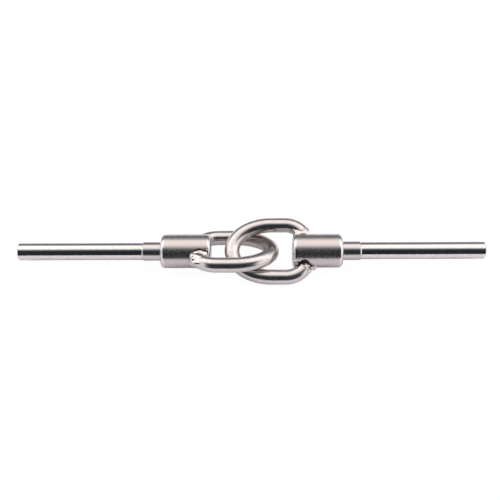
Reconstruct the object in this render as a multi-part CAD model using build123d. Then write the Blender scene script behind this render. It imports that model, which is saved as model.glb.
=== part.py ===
"""Interlocking eye terminal pair for boat rigging wire, all stainless steel.

Two equal halves lie on a flat surface with their eyes looped through each other. Each half is a swage
stud that turns in a barrel, and a bow of round bar whose two ends are welded into the barrel's side
notches. Both barrels and one leg of each bow touch the surface, so each bow is rolled to one side.

Frame: origin on the surface under the middle of the pair, +X along the studs, +Z up, millimetres.
The left half is modelled first. The right half is the left one turned half a turn about Z.
"""

from build123d import *
import math
import os

# Swage stud: shank for the wire, neck that runs in the barrel, and a head that holds it there
SHANK_RADIUS = 4.10
SHANK_LENGTH = 58.6
SHANK_END_CHAMFER = 0.45
NECK_RADIUS = 4.45
NECK_LENGTH = 8.8
NECK_CONE = 0.6
HEAD_LENGTH = 6.5
HEAD_CHAMFER = 0.5
WIRE_BORE_RADIUS = 2.6
WIRE_BORE_DEPTH = 50.0
DRILL_POINT_ANGLE = 118.0
BORE_MOUTH_CHAMFER = 0.35

# Barrel, its cavity, and what fills it
BARREL_RADIUS = 8.0
BARREL_LENGTH = 23.5
BARREL_REAR_ROUND = 2.0
BARREL_FRONT_ROUND = 1.4
REAR_MOUTH_CHAMFER = 0.4
REAR_WALL = 3.0
CAVITY_RADIUS = 6.0
RUNNING_CLEARANCE = 0.05
END_PLAY = 0.2
WASHER_THICKNESS = 1.0
PLUG_CHAMFER = 0.3

# Bow: half an ellipse at the nose, short straight legs, and shoulders that turn in to the barrel
BAR_RADIUS = 3.55
BOW_REACH = 28.7
BOW_HALF_WIDTH = 13.15
BOW_NOSE_LENGTH = 18.6
SHOULDER_START = 3.4
SHOULDER_RADIUS = 10.5
BAR_TURN = 48.0

# Side notches: the bar's own seat, and an oval pocket sunk into each side of the barrel behind it
SEAT_GAP = 0.05
NOTCH_SETBACK = 5.3
NOTCH_FLOOR = 5.4
NOTCH_HALF_LENGTH = 3.5
NOTCH_HALF_WIDTH = 5.05

# Weld: a core that carries the bar on into the notch, and a collar that laps over the barrel
WELD_CORE_RADIUS = 3.35
WELD_COLLAR_RADIUS = 5.25
WELD_COLLAR_TURN = 38.0
WELD_TURN = 64.0
WELD_HEIGHT = 1.1
WELD_OPEN_LEVEL = 1.9
WELD_ROOT_LENGTH = 2.4

# Where the halves lie
EYE_GAP = 38.7

# Worked out from the dimensions above
FACE_X = -EYE_GAP / 2
REAR_X = FACE_X - BARREL_LENGTH
AXIS_Z = BARREL_RADIUS
BOW_ROLL = math.degrees(math.asin((BARREL_RADIUS - BAR_RADIUS) / BOW_HALF_WIDTH))
HEAD_RADIUS = CAVITY_RADIUS - RUNNING_CLEARANCE
WASHER_X = REAR_X + REAR_WALL
HEAD_X = WASHER_X + WASHER_THICKNESS
PLUG_X = HEAD_X + HEAD_LENGTH + END_PLAY
SHANK_X = REAR_X - NECK_LENGTH
STUD_END_X = SHANK_X - SHANK_LENGTH


def turned(profile_points):
    """A solid of revolution about the barrel's axis, from (x, radius) points."""
    with BuildPart() as piece:
        with BuildSketch(Plane.XZ):
            with BuildLine():
                Polyline(profile_points, close=True)
            make_face()
        revolve(axis=Axis.X)
    return piece.part


def rod(start_x, end_x, radius):
    """A plain cylinder along the barrel's axis."""
    return turned([(start_x, 0), (end_x, 0), (end_x, radius), (start_x, radius)])


def on_axis(piece):
    """Lift a piece that was modelled about X to the height of the barrel's axis."""
    return Pos(0, 0, AXIS_Z) * piece


def bow_plane(piece):
    """Place a piece modelled in the bow's own plane: X from the barrel's face, Y across the bow."""
    return Pos(FACE_X, 0, AXIS_Z) * Rot(-BOW_ROLL, 0, 0) * piece


def shoulder_point(turn):
    """Centre of the bar after that many degrees of the shoulder on the +Y side, and its direction."""
    angle = math.radians(turn)
    x = SHOULDER_START - SHOULDER_RADIUS * math.sin(angle)
    y = BOW_HALF_WIDTH - SHOULDER_RADIUS * (1 - math.cos(angle))
    return (x, y), (-math.cos(angle), -math.sin(angle))


def bar_plane(side, turn):
    """Plane across the bar on side +1 or -1 of the bow, facing away from the barrel."""
    (x, y), (dx, dy) = shoulder_point(turn)
    return Plane(origin=(x, side * y, 0), x_dir=(0, 0, 1), z_dir=(-dx, -side * dy, 0))


def shoulder_arc(side, first_turn, last_turn):
    """Centreline of a shoulder between two turns, run towards the barrel."""
    centre = (SHOULDER_START, side * (BOW_HALF_WIDTH - SHOULDER_RADIUS))
    return CenterArc(
        centre, SHOULDER_RADIUS, side * (90 + first_turn), side * (last_turn - first_turn)
    )


def bow_path():
    """Centreline of the bow, from one end of the bar to the other."""
    nose_x = BOW_REACH - BOW_NOSE_LENGTH
    with BuildLine() as line:
        for side in (1, -1):
            shoulder_arc(side, 0, BAR_TURN)
            Line((SHOULDER_START, side * BOW_HALF_WIDTH), (nose_x, side * BOW_HALF_WIDTH))
        EllipticalCenterArc(
            (nose_x, 0), BOW_NOSE_LENGTH, BOW_HALF_WIDTH, start_angle=-90, arc_size=180
        )
    return line.wire()


def swept_bar(radius):
    """Round bar of the given radius along the bow's centreline."""
    section = bar_plane(1, BAR_TURN) * Circle(radius)
    return sweep(section, path=bow_path())


def notch_cutters():
    """What is cut from the barrel and the plug: the bar's own seat and a pocket on each side."""
    cutters = [bow_plane(swept_bar(BAR_RADIUS + SEAT_GAP))]
    for side in (1, -1):
        floor = Plane(
            origin=(-NOTCH_SETBACK, side * NOTCH_FLOOR, 0), x_dir=(0, 0, 1), z_dir=(0, side, 0)
        )
        oval = Ellipse(NOTCH_HALF_WIDTH, NOTCH_HALF_LENGTH)
        cutters.append(bow_plane(extrude(floor * oval, BARREL_RADIUS)))
    return cutters


def swivel_barrel():
    body = rod(REAR_X, FACE_X, BARREL_RADIUS)
    rims = body.edges().filter_by(GeomType.CIRCLE).group_by(Axis.X)
    body = fillet(rims[0], BARREL_REAR_ROUND)
    rims = body.edges().filter_by(GeomType.CIRCLE).group_by(Axis.X)
    body = fillet(rims[-1], BARREL_FRONT_ROUND)
    bore = NECK_RADIUS + RUNNING_CLEARANCE
    mouth = bore + REAR_MOUTH_CHAMFER
    body -= rod(REAR_X - 1, FACE_X, bore)
    body -= turned([(REAR_X, 0), (REAR_X, mouth), (REAR_X + REAR_MOUTH_CHAMFER, bore), (FACE_X, 0)])
    body -= rod(WASHER_X, FACE_X + 1, CAVITY_RADIUS)
    return on_axis(body)


def front_plug():
    edge = CAVITY_RADIUS - PLUG_CHAMFER
    return on_axis(
        turned(
            [
                (PLUG_X, 0),
                (FACE_X, 0),
                (FACE_X, CAVITY_RADIUS),
                (PLUG_X + PLUG_CHAMFER, CAVITY_RADIUS),
                (PLUG_X, edge),
            ]
        )
    )


def swage_stud():
    head_end = HEAD_X + HEAD_LENGTH
    outline = [
        (STUD_END_X, 0),
        (head_end, 0),
        (head_end, HEAD_RADIUS - HEAD_CHAMFER),
        (head_end - HEAD_CHAMFER, HEAD_RADIUS),
        (HEAD_X, HEAD_RADIUS),
        (HEAD_X, NECK_RADIUS),
        (SHANK_X + NECK_CONE, NECK_RADIUS),
        (SHANK_X, SHANK_RADIUS),
        (STUD_END_X + SHANK_END_CHAMFER, SHANK_RADIUS),
        (STUD_END_X, SHANK_RADIUS - SHANK_END_CHAMFER),
    ]
    bore_end = STUD_END_X + WIRE_BORE_DEPTH
    point = WIRE_BORE_RADIUS / math.tan(math.radians(DRILL_POINT_ANGLE / 2))
    bore = [
        (STUD_END_X, 0),
        (bore_end + point, 0),
        (bore_end, WIRE_BORE_RADIUS),
        (STUD_END_X + BORE_MOUTH_CHAMFER, WIRE_BORE_RADIUS),
        (STUD_END_X, WIRE_BORE_RADIUS + BORE_MOUTH_CHAMFER),
    ]
    return on_axis(turned(outline) - turned(bore))


def thrust_washer():
    ring = rod(WASHER_X, HEAD_X, HEAD_RADIUS)
    return on_axis(ring - rod(WASHER_X - 1, HEAD_X + 1, NECK_RADIUS + RUNNING_CLEARANCE))


def bow():
    return bow_plane(swept_bar(BAR_RADIUS))


def weld_run(side, first_turn, radius):
    """Round run of metal along the shoulder from that turn, straight on past the notch's floor."""
    with BuildLine() as line:
        arc = shoulder_arc(side, first_turn, WELD_TURN)
        PolarLine(arc @ 1, WELD_ROOT_LENGTH, direction=arc % 1)
    return sweep(bar_plane(side, first_turn) * Circle(radius), path=line.wire())


def weld(side):
    """Weld at one bar end, with its collar open where the notch shows above the bar."""
    core = weld_run(side, BAR_TURN, WELD_CORE_RADIUS)
    collar = weld_run(side, WELD_COLLAR_TURN, WELD_COLLAR_RADIUS)
    reach = 2 * BARREL_LENGTH
    lap = Cylinder(BARREL_RADIUS + WELD_HEIGHT, reach, rotation=(0, 90, 0))
    opening = Pos(0, 0, WELD_OPEN_LEVEL + reach / 2) * Box(reach, reach, reach)
    return bow_plane(core + ((collar & lap) - opening))


def build_half():
    """The left half's pieces by name, in place."""
    barrel = swivel_barrel()
    plug = front_plug()
    for cutter in notch_cutters():
        barrel -= cutter
        plug -= cutter
    bar = bow()
    beads = {"weld_low": weld(1), "weld_high": weld(-1)}
    for name in beads:
        for neighbour in (bar, barrel, plug):
            beads[name] -= neighbour
    return {
        "swivel_barrel": barrel,
        "front_plug": plug,
        "swage_stud": swage_stud(),
        "thrust_washer": thrust_washer(),
        "bow": bar,
        **beads,
    }


os.makedirs("parts", exist_ok=True)
half_turn = {"left": 0, "right": 180}
for name, piece in build_half().items():
    for hand, angle in half_turn.items():
        node = f"{name}_{hand}"
        placed = Rot(0, 0, angle) * piece
        placed.label = node
        export_step(placed, f"parts/{node}.step")
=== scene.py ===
"""Looks of the interlocking eye terminal pair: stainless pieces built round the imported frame.

The object's own sizes are in millimetres, as on the drawing, and MM turns them into metres. The
camera's distance and the studio are in metres. Bows and welds are built in the bow's own plane: X
from the barrel's face, Y across the bow, Z normal to it.
"""

import math
import random

import bmesh
import bpy
from mathutils import Matrix, Vector, noise


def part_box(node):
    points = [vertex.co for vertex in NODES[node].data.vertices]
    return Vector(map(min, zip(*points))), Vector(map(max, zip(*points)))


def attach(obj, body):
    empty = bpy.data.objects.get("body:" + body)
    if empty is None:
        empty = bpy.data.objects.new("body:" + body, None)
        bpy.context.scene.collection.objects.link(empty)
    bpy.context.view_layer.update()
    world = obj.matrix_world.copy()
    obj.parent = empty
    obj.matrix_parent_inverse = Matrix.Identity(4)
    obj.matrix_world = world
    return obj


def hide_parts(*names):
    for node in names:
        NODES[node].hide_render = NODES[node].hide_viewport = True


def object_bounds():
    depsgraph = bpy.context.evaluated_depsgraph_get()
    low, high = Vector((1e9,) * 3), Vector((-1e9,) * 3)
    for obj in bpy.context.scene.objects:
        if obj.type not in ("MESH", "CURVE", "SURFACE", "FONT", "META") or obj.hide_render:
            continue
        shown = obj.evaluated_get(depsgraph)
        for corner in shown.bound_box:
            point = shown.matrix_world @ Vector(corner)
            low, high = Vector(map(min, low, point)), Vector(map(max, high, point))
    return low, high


MM = 0.001

# Bow, weld and neck, as drawn
BAR_RADIUS = 3.55
BOW_REACH = 28.7
BOW_HALF_WIDTH = 13.15
BOW_NOSE_LENGTH = 18.6
SHOULDER_START = 3.4
SHOULDER_RADIUS = 10.5
BAR_TURN = 48.0
WELD_TURN = 64.0
NECK_LENGTH = 8.8

# Ripples on bars and welds: the scales of a coarse and a fine noise, the share of the fine one, and
# the most they add up to
BAR_RIPPLE = (0.16, 0.4)
WELD_RIPPLE = (0.9, 2.2)
FINE_SHARE = 0.5
RIPPLE_PEAK = 1.0 + FINE_SHARE

# Bow mesh: how it is divided, how far its ends run on into the welds, and how far the bar strays
# inwards from round
PATH_STEPS = 400
RING_STEP = 0.35
RING_POINTS = 72
BAR_TUCK = 0.8
BAR_WAVE = 0.018
BAR_SEED = {"left": 40, "right": 90}

# Weld mesh: which side of the bow each leg is on, the skin, and the least height above the floor
LEG_SIDE = {"low": 1, "high": -1}
VOXEL = 0.15
SMOOTH_PASSES = 9
FLOOR_GAP = 0.02
# The weld's core, which starts inside the bar's end and follows the shoulder into the notch
CORE_TURN = BAR_TURN - 2.0
CORE_LENGTH = 7.5
CORE_STEP = 0.5
# The collar's beads: their spread in size, the steps between them in degrees, their scatter, and the
# search for where they sit on the barrel
BEAD_SPREAD = (0.85, 1.15)
COLLAR_STEP = (5, 9)
COLLAR_JITTER = 0.15
SEAT_REACH = 6.0
SEAT_HALVINGS = 40
# Beads along the bar's end face, in degrees and in from its edge, and beads under a facet
END_STEP = 9
END_INSET = 0.35
BEAD_PITCH = 0.5

# Camera: the lens, and where it stands and aims
LENS = 56.2
SENSOR_WIDTH = 36.0
CLIP_START = 0.01
CAMERA_DISTANCE = 0.370
CAMERA_ELEVATION = math.radians(49.0)
CAMERA_ROLL = math.radians(-0.2)
AIM_RIGHT = -0.8
AIM_UP = 0.45

# Studio: its white comes from a glow, and the dark base under it takes only a faint shadow
FLOOR_SIZE = 6.0
BACKDROP_DISTANCE = 5.0
WHITE_BASE = (0.08, 0.08, 0.08)
WHITE_GLOW = 0.96
# The two sheets of the floor: name, level, how far it comes to the front, colour and glow
FLOOR_SHEETS = [
    ("floor", -0.00003, FLOOR_SIZE, WHITE_BASE, WHITE_GLOW),
    ("table", -0.0002, 0.12, (0.90, 0.88, 0.96), 0.15),
]
OTHER_RAYS = ("visible_diffuse", "visible_glossy", "visible_shadow")
# The world's tone where it is dark, and where it is at the light level or above
DARK_TONE = (0.74, 0.98, 1.16)
LIGHT_TONE = (1.0, 0.945, 0.925)
LIGHT_LEVEL = 0.9
# The world's level by the angle up from the front horizon, over the top, to the back one
BANDS = [
    (0, 0.032),
    (36, 0.028),
    (54, 0.045),
    (64, 0.13),
    (74, 0.60),
    (83, 1.20),
    (94, 1.52),
    (122, 1.56),
    (134, 1.00),
    (144, 0.38),
    (158, 0.19),
    (180, 0.15),
]
# How the bands brighten away from the middle, and the lights to the left and right
BRIM = [(0.05, 1.0), (0.40, 1.2)]
SIDE_LIGHT = 1.3
SIDE_LIGHTS = [(0.02, 0.45), (0.08, SIDE_LIGHT), (0.21, 0.0), (0.79, 0.0), (0.92, SIDE_LIGHT)]

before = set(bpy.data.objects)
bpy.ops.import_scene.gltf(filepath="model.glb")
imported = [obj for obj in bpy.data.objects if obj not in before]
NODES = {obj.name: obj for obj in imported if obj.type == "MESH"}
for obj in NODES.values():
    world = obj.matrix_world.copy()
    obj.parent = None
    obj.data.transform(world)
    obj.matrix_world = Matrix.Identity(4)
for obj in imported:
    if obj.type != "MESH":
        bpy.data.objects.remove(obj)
cad_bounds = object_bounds()

# Worked out from the frame
AXIS_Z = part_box("swivel_barrel_left")[1].z / 2
BARREL_RADIUS = AXIS_Z / MM
BARREL_LENGTH = (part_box("swivel_barrel_right")[1].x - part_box("swivel_barrel_right")[0].x) / MM
FACE_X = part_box("swivel_barrel_right")[0].x / MM
PAIR_HALF = cad_bounds[1].x / MM
REAR_END = FACE_X + BARREL_LENGTH
BOW_ROLL = math.asin((BARREL_RADIUS - BAR_RADIUS) / BOW_HALF_WIDTH)

# From the bow's plane in millimetres to the row frame in metres
upright = Matrix.Translation((-FACE_X * MM, 0, AXIS_Z)) @ Matrix.Rotation(-BOW_ROLL, 4, "X")
left_frame = upright @ Matrix.Scale(MM, 4)
BOW_FRAME = {"left": left_frame, "right": Matrix.Rotation(math.pi, 4, "Z") @ left_frame}


def place(x, y, z=0.0, hand="left"):
    """A point of the bow's plane, in millimetres, as metres in the row frame."""
    return BOW_FRAME[hand] @ Vector((x, y, z))


def new_object(name, data):
    """An object in the scene with that data."""
    piece = bpy.data.objects.new(name, data)
    bpy.context.scene.collection.objects.link(piece)
    return piece


# ---------------------------------------------------------------- materials

# Where noise turns from a material's darker to its lighter end, and how heat tint breaks up
MOTTLE = (0.35, 0.65)
HEAT_GRAIN = 420
HEAT_PATCHES = [(0.3, 0.2), (0.7, 1.0)]


def new_material(name):
    """An empty principled material, its node tree and its shader."""
    material = bpy.data.materials.new(name)
    material.use_nodes = True
    tree = material.node_tree
    shader = tree.nodes["Principled BSDF"]
    return material, tree, shader


def add(tree, kind, **values):
    """A node of that kind, with inputs set by socket name."""
    node = tree.nodes.new(kind)
    for key, value in values.items():
        node.inputs[key.replace("_", " ")].default_value = value
    return node


def object_point(tree, stretch=(1, 1, 1)):
    """The point in the row frame, stretched along the axes."""
    coords = tree.nodes.new("ShaderNodeTexCoord")
    mapping = tree.nodes.new("ShaderNodeMapping")
    mapping.inputs["Scale"].default_value = stretch
    tree.links.new(coords.outputs["Object"], mapping.inputs["Vector"])
    return mapping.outputs["Vector"]


def noise_node(tree, scale, detail=4.0, stretch=(1, 1, 1)):
    """Noise at that many features per metre."""
    texture = add(tree, "ShaderNodeTexNoise", Scale=scale, Detail=detail)
    tree.links.new(object_point(tree, stretch), texture.inputs["Vector"])
    return texture.outputs["Fac"]


def math_node(tree, operation, *values):
    """The result of a maths node. Each value is a number or a socket."""
    node = tree.nodes.new("ShaderNodeMath")
    node.operation = operation
    for socket, value in zip(node.inputs, values):
        if isinstance(value, (int, float)):
            socket.default_value = value
        else:
            tree.links.new(value, socket)
    return node.outputs[0]


def ramp(tree, source, stops, interpolation="LINEAR"):
    """A colour ramp with (position, colour or grey level) stops."""
    node = tree.nodes.new("ShaderNodeValToRGB")
    node.color_ramp.interpolation = interpolation
    elements = node.color_ramp.elements
    while len(elements) < len(stops):
        elements.new(0.5)
    for element, (position, colour) in zip(elements, stops):
        element.position = position
        if isinstance(colour, (int, float)):
            colour = (colour, colour, colour)
        element.color = (*colour, 1)
    tree.links.new(source, node.inputs["Fac"])
    return node.outputs["Color"]


def mix(tree, factor, first, second, blend="MIX"):
    """First and second colour blended. The factor and the colours may be sockets."""
    node = tree.nodes.new("ShaderNodeMix")
    node.data_type = "RGBA"
    node.blend_type = blend
    # Sockets of a colour mix: 0 is the factor, 6 and 7 are the colours, and 2 is the result
    sockets = (node.inputs[0], node.inputs[6], node.inputs[7])
    for socket, value in zip(sockets, (factor, first, second)):
        if isinstance(value, bpy.types.NodeSocket):
            tree.links.new(value, socket)
        elif isinstance(value, tuple):
            socket.default_value = (*value, 1)
        else:
            socket.default_value = value
    return node.outputs[2]


def near_points(tree, points, inner, outer):
    """1 within the inner distance of the nearest of the points, falling to 0 at the outer one."""
    here = object_point(tree)
    nearest = None
    for point in points:
        gap = tree.nodes.new("ShaderNodeVectorMath")
        gap.operation = "DISTANCE"
        tree.links.new(here, gap.inputs[0])
        gap.inputs[1].default_value = point
        distance = gap.outputs["Value"]
        nearest = math_node(tree, "MINIMUM", nearest, distance) if nearest else distance
    span = tree.nodes.new("ShaderNodeMapRange")
    span.interpolation_type = "SMOOTHSTEP"
    tree.links.new(nearest, span.inputs["Value"])
    for key, value in {"From Min": inner, "From Max": outer, "To Min": 1.0, "To Max": 0.0}.items():
        span.inputs[key].default_value = value
    return span.outputs[0]


def along(tree, stops):
    """A ramp over the distance from the middle of the pair, with (mm, level) stops."""
    split = tree.nodes.new("ShaderNodeSeparateXYZ")
    tree.links.new(object_point(tree), split.inputs[0])
    reach = math_node(tree, "ABSOLUTE", split.outputs["X"])
    share = math_node(tree, "MULTIPLY", reach, 1 / (PAIR_HALF * MM))
    return ramp(tree, share, [(distance / PAIR_HALF, level) for distance, level in stops])


def bump_chain(tree, shader, bumps):
    """Bumps one on another, each given as (scale, height in mm, stretch)."""
    normal = None
    for scale, height, stretch in bumps:
        bump = add(tree, "ShaderNodeBump", Distance=height * MM, Strength=1.0)
        tree.links.new(noise_node(tree, scale, 3, stretch), bump.inputs["Height"])
        if normal:
            tree.links.new(normal, bump.inputs["Normal"])
        normal = bump.outputs["Normal"]
    tree.links.new(normal, shader.inputs["Normal"])


def steel(name, dark, light, roughness, bumps, grain=900, tint=None, other=None):
    """Stainless steel, mottled in colour and roughness. tint is (points, colour, inner, outer), and
    other is (stops along the pair, colour, roughness) of a band on the same piece: a second finish, and
    on the barrel's rims also a lighter colour that is a painted highlight."""
    low, high = MOTTLE
    material, tree, shader = new_material(name)
    shader.inputs["Metallic"].default_value = 1.0
    colour = ramp(tree, noise_node(tree, grain, 6), [(low, dark), (high, light)])
    if tint:
        points, heat, inner, outer = tint
        near = near_points(tree, points, inner * MM, outer * MM)
        patches = ramp(tree, noise_node(tree, HEAT_GRAIN, 4), HEAT_PATCHES)
        patchy = math_node(tree, "MULTIPLY", near, patches)
        colour = mix(tree, patchy, colour, heat)
    rough = ramp(tree, noise_node(tree, grain / 3, 3), [(low, roughness[0]), (high, roughness[1])])
    if other:
        stops, second, smooth = other
        zone = along(tree, stops)
        colour = mix(tree, zone, colour, second)
        rough = mix(tree, zone, rough, (smooth, smooth, smooth))
    tree.links.new(colour, shader.inputs["Base Color"])
    tree.links.new(rough, shader.inputs["Roughness"])
    bump_chain(tree, shader, bumps)
    return material


def acetal():
    """White acetal, faintly mottled."""
    material, tree, shader = new_material("white_acetal")
    shader.inputs["Roughness"].default_value = 0.5
    stops = [(0.3, (0.80, 0.80, 0.77)), (0.7, (0.86, 0.86, 0.84))]
    tree.links.new(ramp(tree, noise_node(tree, 600, 4), stops), shader.inputs["Base Color"])
    return material


# Where the barrel's rounded rims get a smoother finish and a lighter colour, which is a painted
# highlight, and where the satin neck gives way to the shank
RIM_HIGHLIGHT_STOPS = [
    (FACE_X + 1.0, 1.0),
    (FACE_X + 1.9, 0.0),
    (REAR_END - 2.3, 0.0),
    (REAR_END - 1.4, 1.0),
]
NECK_STOPS = [(REAR_END + NECK_LENGTH - 0.8, 1.0), (REAR_END + NECK_LENGTH + 0.5, 0.0)]
# Heat tint: its colour, the welds that show it on the barrel, and its centres on barrels and bars
HEAT = (0.40, 0.27, 0.17)
HEATED = [(1, "left"), (-1, "left"), (-1, "right")]
WELD_SPOTS = [place(-4.5, side * 7.9, 1.0, hand) for side, hand in HEATED]
BAR_ENDS = [place(-5.6, side * 8.2, 0.0, hand) for side in (1, -1) for hand in ("left", "right")]

shank_steel = steel(
    "polished_shank",
    (0.65, 0.61, 0.60),
    (0.74, 0.69, 0.67),
    (0.09, 0.14),
    [(60, 0.012, (0.3, 1, 1)), (2500, 0.0005, (0.2, 1, 1))],
    other=(NECK_STOPS, (0.58, 0.545, 0.54), 0.24),
)
bar_steel = steel(
    "polished_bar",
    (0.565, 0.53, 0.51),
    (0.635, 0.595, 0.572),
    (0.19, 0.25),
    [(90, 0.015, (1, 1, 1)), (2600, 0.0008, (1, 1, 1))],
    tint=(BAR_ENDS, HEAT, 2.6, 4.4),
)
satin_steel = steel(
    "satin_barrel",
    (0.53, 0.485, 0.468),
    (0.572, 0.523, 0.503),
    (0.25, 0.31),
    [(3400, 0.0005, (1, 1, 1)), (110, 0.0012, (1, 1, 1))],
    grain=2400,
    tint=(WELD_SPOTS, HEAT, 3.6, 5.2),
    # The rims: a smoother finish, and a lighter colour that is a painted highlight
    other=(RIM_HIGHLIGHT_STOPS, (0.72, 0.685, 0.67), 0.16),
)
weld_steel = steel(
    "weld_metal",
    (0.50, 0.465, 0.44),
    (0.80, 0.765, 0.735),
    (0.12, 0.26),
    [(900, 0.02, (1, 1, 1))],
)
white_acetal = acetal()

FINISH = {
    "swivel_barrel": satin_steel,
    "front_plug": satin_steel,
    "swage_stud": shank_steel,
    "thrust_washer": white_acetal,
    "bow": bar_steel,
    "weld_low": weld_steel,
    "weld_high": weld_steel,
}
for name, node in NODES.items():
    finish = FINISH[name.rsplit("_", 1)[0]]
    for material_slot in node.material_slots:
        material_slot.material = finish


# ---------------------------------------------------------------- bows


def new_piece(name, mesh, material, body, node):
    """A finished mesh as an object that rides on a body and stands for a CAD node."""
    mesh.materials.clear()
    mesh.materials.append(material)
    for face in mesh.polygons:
        face.use_smooth = True
    piece = new_object(name, mesh)
    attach(piece, body)
    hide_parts(node)
    return piece


def shoulder(turn, beyond=0.0):
    """Centre of the bar at that turn of the +Y shoulder, its direction, and the outward normal."""
    angle = math.radians(turn)
    ahead = Vector((-math.cos(angle), -math.sin(angle), 0))
    outward = Vector((-math.sin(angle), math.cos(angle), 0))
    centre = Vector(
        (
            SHOULDER_START - SHOULDER_RADIUS * math.sin(angle),
            BOW_HALF_WIDTH - SHOULDER_RADIUS * (1 - math.cos(angle)),
            0,
        )
    )
    return centre + ahead * beyond, ahead, outward


def spoke(outward, angle):
    """Direction across the bar at that angle: 0 is outward, and a quarter turn is up."""
    return outward * math.cos(angle) + Vector((0, 0, math.sin(angle)))


def ripple(point, scales, shift):
    """Coarse noise at a point, and a share of a finer one."""
    coarse, fine = scales
    return noise.noise(point * coarse + shift) + FINE_SHARE * noise.noise(point * fine + shift)


def centreline():
    """Points of the bow's centreline, evenly spaced, from the -Y bar end round to the +Y one."""
    half = []
    nose_x = BOW_REACH - BOW_NOSE_LENGTH
    for i in range(PATH_STEPS + 1):
        angle = math.pi / 2 * i / PATH_STEPS
        across = BOW_HALF_WIDTH * math.sin(angle)
        half.append(Vector((nose_x + BOW_NOSE_LENGTH * math.cos(angle), across, 0)))
    half.append(Vector((SHOULDER_START, BOW_HALF_WIDTH, 0)))
    half += [shoulder(BAR_TURN * i / PATH_STEPS)[0] for i in range(1, PATH_STEPS + 1)]
    half.append(shoulder(BAR_TURN, BAR_TUCK)[0])
    mirrored = [Vector((p.x, -p.y, 0)) for p in reversed(half)]
    rough = mirrored + half[1:]
    points = [rough[0]]
    travelled = 0.0
    for before, after in zip(rough, rough[1:]):
        run = (after - before).length
        while travelled + run >= RING_STEP:
            share = (RING_STEP - travelled) / run
            before = before.lerp(after, share)
            points.append(before.copy())
            run = (after - before).length
            travelled = 0.0
        travelled += run
    return points


def bow(hand):
    """Round bar along the bow, a little uneven, as hot-bent bar is."""
    points = centreline()
    shift = Vector((0, 0, BAR_SEED[hand]))
    form = bmesh.new()
    rings = []
    for i, point in enumerate(points):
        ahead = points[min(i + 1, len(points) - 1)] - points[max(i - 1, 0)]
        ahead.normalize()
        outward = Vector((ahead.y, -ahead.x, 0))
        ring = []
        for k in range(RING_POINTS):
            way = spoke(outward, 2 * math.pi * k / RING_POINTS)
            wave = ripple(point + way * BAR_RADIUS, BAR_RIPPLE, shift)
            radius = BAR_RADIUS - BAR_WAVE * (RIPPLE_PEAK - wave)
            ring.append(form.verts.new(point + way * radius))
        rings.append(ring)
    for ring, after in zip(rings, rings[1:]):
        for k in range(RING_POINTS):
            near = (k + 1) % RING_POINTS
            form.faces.new((ring[k], ring[near], after[near], after[k]))
    form.faces.new(rings[0])
    form.faces.new(reversed(rings[-1]))
    bmesh.ops.recalc_face_normals(form, faces=form.faces)
    mesh = bpy.data.meshes.new(f"round_bar_bow_{hand}")
    form.to_mesh(mesh)
    form.free()
    mesh.transform(BOW_FRAME[hand])
    return new_piece(mesh.name, mesh, bar_steel, f"{hand}_eye", f"bow_{hand}")


# ---------------------------------------------------------------- welds


def blob(form, centre, radius):
    """A ball added to the form."""
    shape = Matrix.Translation(centre) @ Matrix.Diagonal((radius, radius, radius, 1))
    bmesh.ops.create_icosphere(form, subdivisions=3, radius=1.0, matrix=shape)


def collar_seat(around, ring_radius, lift):
    """Point that far above the barrel's surface, on a ring round the bar's line: 0 is outward, 90 up."""
    low, high = -SEAT_REACH, SEAT_REACH
    for _ in range(SEAT_HALVINGS):
        middle = (low + high) / 2
        centre, _, outward = shoulder(WELD_TURN, middle)
        point = centre + spoke(outward, math.radians(around)) * ring_radius
        if math.hypot(point.y, point.z) > BARREL_RADIUS + lift:
            low = middle
        else:
            high = middle
    return point


def weld_blobs(core, collar, lumps, seed):
    """Mesh of a weld's overlapping blobs: the core, the collar of beads round it, and the lumps."""
    dice = random.Random(seed)
    form = bmesh.new()
    level, core_radius = core
    length = 0.0
    while length < CORE_LENGTH:
        turn = min(WELD_TURN, CORE_TURN + math.degrees(length / SHOULDER_RADIUS))
        beyond = max(0.0, length - math.radians(WELD_TURN - CORE_TURN) * SHOULDER_RADIUS)
        blob(form, shoulder(turn, beyond)[0] + Vector((0, 0, level)), core_radius)
        length += CORE_STEP
    first, last, ring_radius, bead, lift = collar
    around = first
    while around <= last:
        spot = collar_seat(around, ring_radius + dice.uniform(-COLLAR_JITTER, COLLAR_JITTER), lift)
        blob(form, spot, bead * dice.uniform(*BEAD_SPREAD))
        around += dice.uniform(*COLLAR_STEP)
    for centre, radius in lumps:
        blob(form, Vector(centre), radius)
    mesh = bpy.data.meshes.new("weld_form")
    form.to_mesh(mesh)
    form.free()
    return mesh


def one_skin(mesh):
    """A single skin over a mesh of overlapping blobs."""
    mould = new_object("weld_mould", mesh)
    remesh = mould.modifiers.new("skin", "REMESH")
    remesh.mode = "VOXEL"
    remesh.voxel_size = VOXEL
    bpy.context.view_layer.update()
    seen = mould.evaluated_get(bpy.context.evaluated_depsgraph_get())
    skin = bpy.data.meshes.new_from_object(seen)
    bpy.data.objects.remove(mould)
    return skin


def weld(hand, leg, core, collar, lumps, wave_height, seed):
    """Lumpy weld at one bar end. The core is (level, radius), the collar (first angle, last angle,
    ring radius, bead radius, lift), and a lump (centre, radius)."""
    side = LEG_SIDE[leg]
    skin = one_skin(weld_blobs(core, collar, lumps, seed))
    form = bmesh.new()
    form.from_mesh(skin)
    for _ in range(SMOOTH_PASSES):
        bmesh.ops.smooth_vert(
            form, verts=form.verts, factor=0.5, use_axis_x=True, use_axis_y=True, use_axis_z=True
        )
    form.normal_update()
    shift = Vector((seed, 0, 0))
    for vert in form.verts:
        vert.co += vert.normal * ripple(vert.co, WELD_RIPPLE, shift) * wave_height
        vert.co.y *= side
    if side < 0:
        bmesh.ops.reverse_faces(form, faces=form.faces)
    form.to_mesh(skin)
    form.free()
    skin.transform(BOW_FRAME[hand])
    for vert in skin.vertices:
        vert.co.z = max(vert.co.z, FLOOR_GAP * MM)
    skin.name = f"weld_bead_{leg}_{hand}"
    return new_piece(skin.name, skin, weld_steel, f"{hand}_eye", f"weld_{leg}_{hand}")


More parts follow.
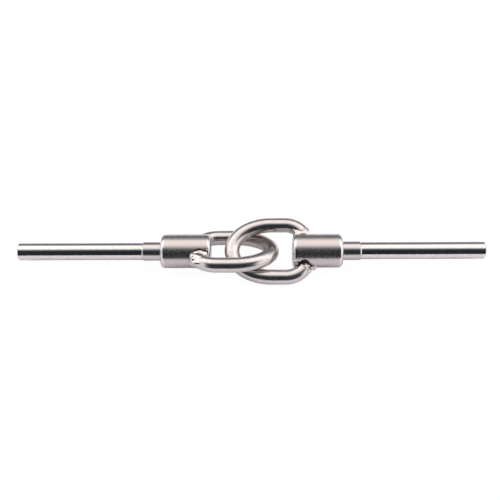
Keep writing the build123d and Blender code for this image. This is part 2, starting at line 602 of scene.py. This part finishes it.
def bar_end_bead(first, last, radius):
    """Small beads along the edge of the bar's end face, from the first angle to the last."""
    beads = []
    centre, _, outward = shoulder(BAR_TURN, BAR_TUCK)
    for around in range(first, last + 1, END_STEP):
        way = spoke(outward, math.radians(around))
        beads.append((centre + way * (BAR_RADIUS - END_INSET), radius))
    return beads


def facet(first, last, lean, radius):
    """Equal beads packed under a flat patch of skin. first and last are (x, y, z, length) where the
    patch starts, lean is the angle of its normal from outward, and it slopes away from the barrel."""
    angle = math.radians(lean)
    normal = Vector((0, math.cos(angle), math.sin(angle)))
    slope = Vector((0, math.sin(angle), -math.cos(angle)))
    first, last = Vector(first), Vector(last)
    columns = max(2, round(abs(last.x - first.x) / BEAD_PITCH))
    beads = []
    for i in range(columns + 1):
        edge = first.lerp(last, i / columns)
        start, length = Vector(edge[:3]), edge[3]
        rows = max(1, round(length / BEAD_PITCH))
        for k in range(rows + 1):
            beads.append((start + slope * length * k / rows - normal * radius, radius))
    return beads


# Weld metal laid into the notch above the raised bar of the left eye
FILL = (
    facet((-7.9, 6.9, 3.5, 1.6), (-5.2, 5.95, 4.25, 2.8), 66, 0.9)
    + facet((-5.2, 5.95, 4.25, 2.8), (-2.0, 6.1, 4.1, 2.2), 64, 0.9)
    + [((-1.35, 6.6, 4.3), 0.45)]
)
# The broad bead over that bar's end, and the metal that ran back along the barrel behind it
END_BEAD = (
    facet((-8.4, 9.1, 3.4, 2.6), (-7.0, 9.9, 3.6, 3.7), 54, 1.1)
    + facet((-7.0, 9.9, 3.6, 3.7), (-4.0, 11.7, 3.35, 2.5), 54, 1.1)
    + [((-6.6, 9.6, 1.4), 2.2), ((-7.7, 10.7, 1.7), 1.35)]
)
REAR_TAIL = [
    ((-8.9, 8.2, -0.5), 1.2),
    ((-9.7, 7.3, -2.0), 0.8),
    ((-10.2, 7.4, -0.4), 0.5),
]
# A drop of metal in front of the left barrel's low notch, and a spot at the upper front corner of
# each low notch
INNER_DROP = [((0.45, 6.6, 2.7), 0.85)]
RIM_SPOT = [((-0.75, 6.95, 4.55), 0.85)]
# The web that fills the corner between the low bar end and the barrel
WEB = [
    ((-6.4, 9.6, 2.2), 0.9),
    ((-7.0, 10.6, 0.6), 1.3),
    ((-7.9, 9.7, 0.4), 1.25),
    ((-8.9, 8.7, 0.2), 1.15),
    ((-10.0, 7.8, 0.0), 0.95),
    ((-10.9, 7.3, -0.1), 0.6),
    ((-8.4, 9.2, 1.7), 0.55),
    ((-9.8, 8.0, 1.2), 0.5),
]
# The proud, untidy weld on top of the right barrel
PROUD_END = facet((-6.1, 7.8, 3.55, 1.6), (-1.7, 7.5, 3.35, 1.6), 84, 0.9) + [
    ((-0.6, 9.6, 2.6), 0.6),
    ((-6.9, 11.0, 1.0), 0.85),
    ((-7.5, 9.8, 1.4), 0.8),
    ((-7.7, 8.6, 1.9), 0.8),
    ((-8.1, 10.1, 1.4), 0.35),
    ((-7.9, 11.2, 0.6), 0.3),
]

for hand in ("left", "right"):
    bow(hand)
weld(
    "left",
    "high",
    core=(0, 3.35),
    collar=(-200, -8, 3.4, 1.1, -0.35),
    lumps=FILL + END_BEAD + REAR_TAIL,
    wave_height=0.07,
    seed=3,
)
weld(
    "left",
    "low",
    core=(0, 3.2),
    collar=(-205, 15, 3.8, 1.2, -0.1),
    lumps=INNER_DROP + RIM_SPOT,
    wave_height=0.08,
    seed=7,
)
weld(
    "right",
    "high",
    core=(0, 3.1),
    collar=(-180, -30, 3.8, 1.1, -0.1),
    lumps=PROUD_END,
    wave_height=0.13,
    seed=12,
)
weld(
    "right",
    "low",
    core=(-0.9, 2.6),
    collar=(-165, -5, 3.9, 1.15, 0.0),
    lumps=bar_end_bead(10, 170, 0.5) + WEB + RIM_SPOT,
    wave_height=0.06,
    seed=21,
)


# ---------------------------------------------------------------- stage


def studio_world():
    """Soft light from overhead and both sides, a dark gap in front, and a dim room behind."""
    world = bpy.data.worlds.new("studio")
    bpy.context.scene.world = world
    world.use_nodes = True
    tree = world.node_tree
    coords = tree.nodes.new("ShaderNodeTexCoord")
    split = tree.nodes.new("ShaderNodeSeparateXYZ")
    tree.links.new(coords.outputs["Generated"], split.inputs["Vector"])
    front = math_node(tree, "MULTIPLY", split.outputs["Y"], -1.0)
    angle = math_node(tree, "ARCTAN2", split.outputs["Z"], front)
    turn = math_node(tree, "MULTIPLY", angle, 1 / math.pi)
    stops = []
    for degrees, level in BANDS:
        lit = min(1.0, level / LIGHT_LEVEL)
        tone = [cool + (warm - cool) * lit for cool, warm in zip(DARK_TONE, LIGHT_TONE)]
        stops.append((degrees / 180, tuple(level * share for share in tone)))
    bands = ramp(tree, turn, stops, "EASE")
    sideways = math_node(tree, "ABSOLUTE", split.outputs["X"])
    brim = ramp(tree, sideways, BRIM, "EASE")
    bands = mix(tree, 1.0, bands, brim, "MULTIPLY")
    share = math_node(tree, "MULTIPLY_ADD", split.outputs["X"], 0.5, 0.5)
    walls = ramp(tree, share, SIDE_LIGHTS, "EASE")
    sky = mix(tree, 1.0, bands, walls, "LIGHTEN")
    background = tree.nodes["Background"]
    tree.links.new(sky, background.inputs["Color"])
    background.inputs["Strength"].default_value = 1.0


def sheet(name, corners, material):
    """A flat piece of the stage."""
    mesh = bpy.data.meshes.new(name)
    mesh.from_pydata(corners, [], [tuple(range(len(corners)))])
    mesh.materials.append(material)
    piece = new_object(name, mesh)
    return piece


def pale(name, colour, glow):
    """A matt material that also glows, so that it stays even."""
    material, _, shader = new_material(name)
    shader.inputs["Base Color"].default_value = (*colour, 1)
    shader.inputs["Roughness"].default_value = 0.9
    shader.inputs["Specular IOR Level"].default_value = 0.0
    shader.inputs["Emission Color"].default_value = (1, 1, 1, 1)
    shader.inputs["Emission Strength"].default_value = glow
    return material


def floor():
    """A plain white floor that only the camera sees, and just under it the greyer table that only
    the steel reflects."""
    for name, level, front, colour, glow in FLOOR_SHEETS:
        far = FLOOR_SIZE
        corners = [(-far, -front, level), (far, -front, level), (far, far, level), (-far, far, level)]
        piece = sheet(name, corners, pale(name, colour, glow))
        seen = name == "floor"
        piece.visible_camera = seen
        for ray in OTHER_RAYS:
            setattr(piece, ray, not seen)


def backdrop():
    """Plain pale walls far round the pair, which only the camera sees, for views from low down."""
    far = BACKDROP_DISTANCE
    wall_material = pale("backdrop", WHITE_BASE, WHITE_GLOW)
    corners = [(-far, -far), (far, -far), (far, far), (-far, far)]
    for i, (near, after) in enumerate(zip(corners, corners[1:] + corners[:1])):
        wall = [(*near, -far), (*after, -far), (*after, far), (*near, far)]
        piece = sheet(f"backdrop_{i}", wall, wall_material)
        for ray in OTHER_RAYS:
            setattr(piece, ray, False)


def camera():
    """The camera at the photograph's angle, rolled a little as the photographed pair lies."""
    data = bpy.data.cameras.new("camera")
    data.lens = LENS
    data.sensor_width = SENSOR_WIDTH
    data.clip_start = CLIP_START
    piece = new_object("camera", data)
    back = Vector((0, -math.cos(CAMERA_ELEVATION), math.sin(CAMERA_ELEVATION)))
    up = Vector((0, math.sin(CAMERA_ELEVATION), math.cos(CAMERA_ELEVATION)))
    aim = Vector((AIM_RIGHT * MM, 0, AXIS_Z)) + up * AIM_UP * MM
    piece.location = aim + back * CAMERA_DISTANCE
    pitch = Matrix.Rotation(math.pi / 2 - CAMERA_ELEVATION, 3, "X")
    piece.rotation_euler = (pitch @ Matrix.Rotation(CAMERA_ROLL, 3, "Z")).to_euler()
    bpy.context.scene.camera = piece


studio_world()
floor()
backdrop()
camera()
bpy.context.scene.view_settings.view_transform = "Standard"

bpy.context.view_layer.update()
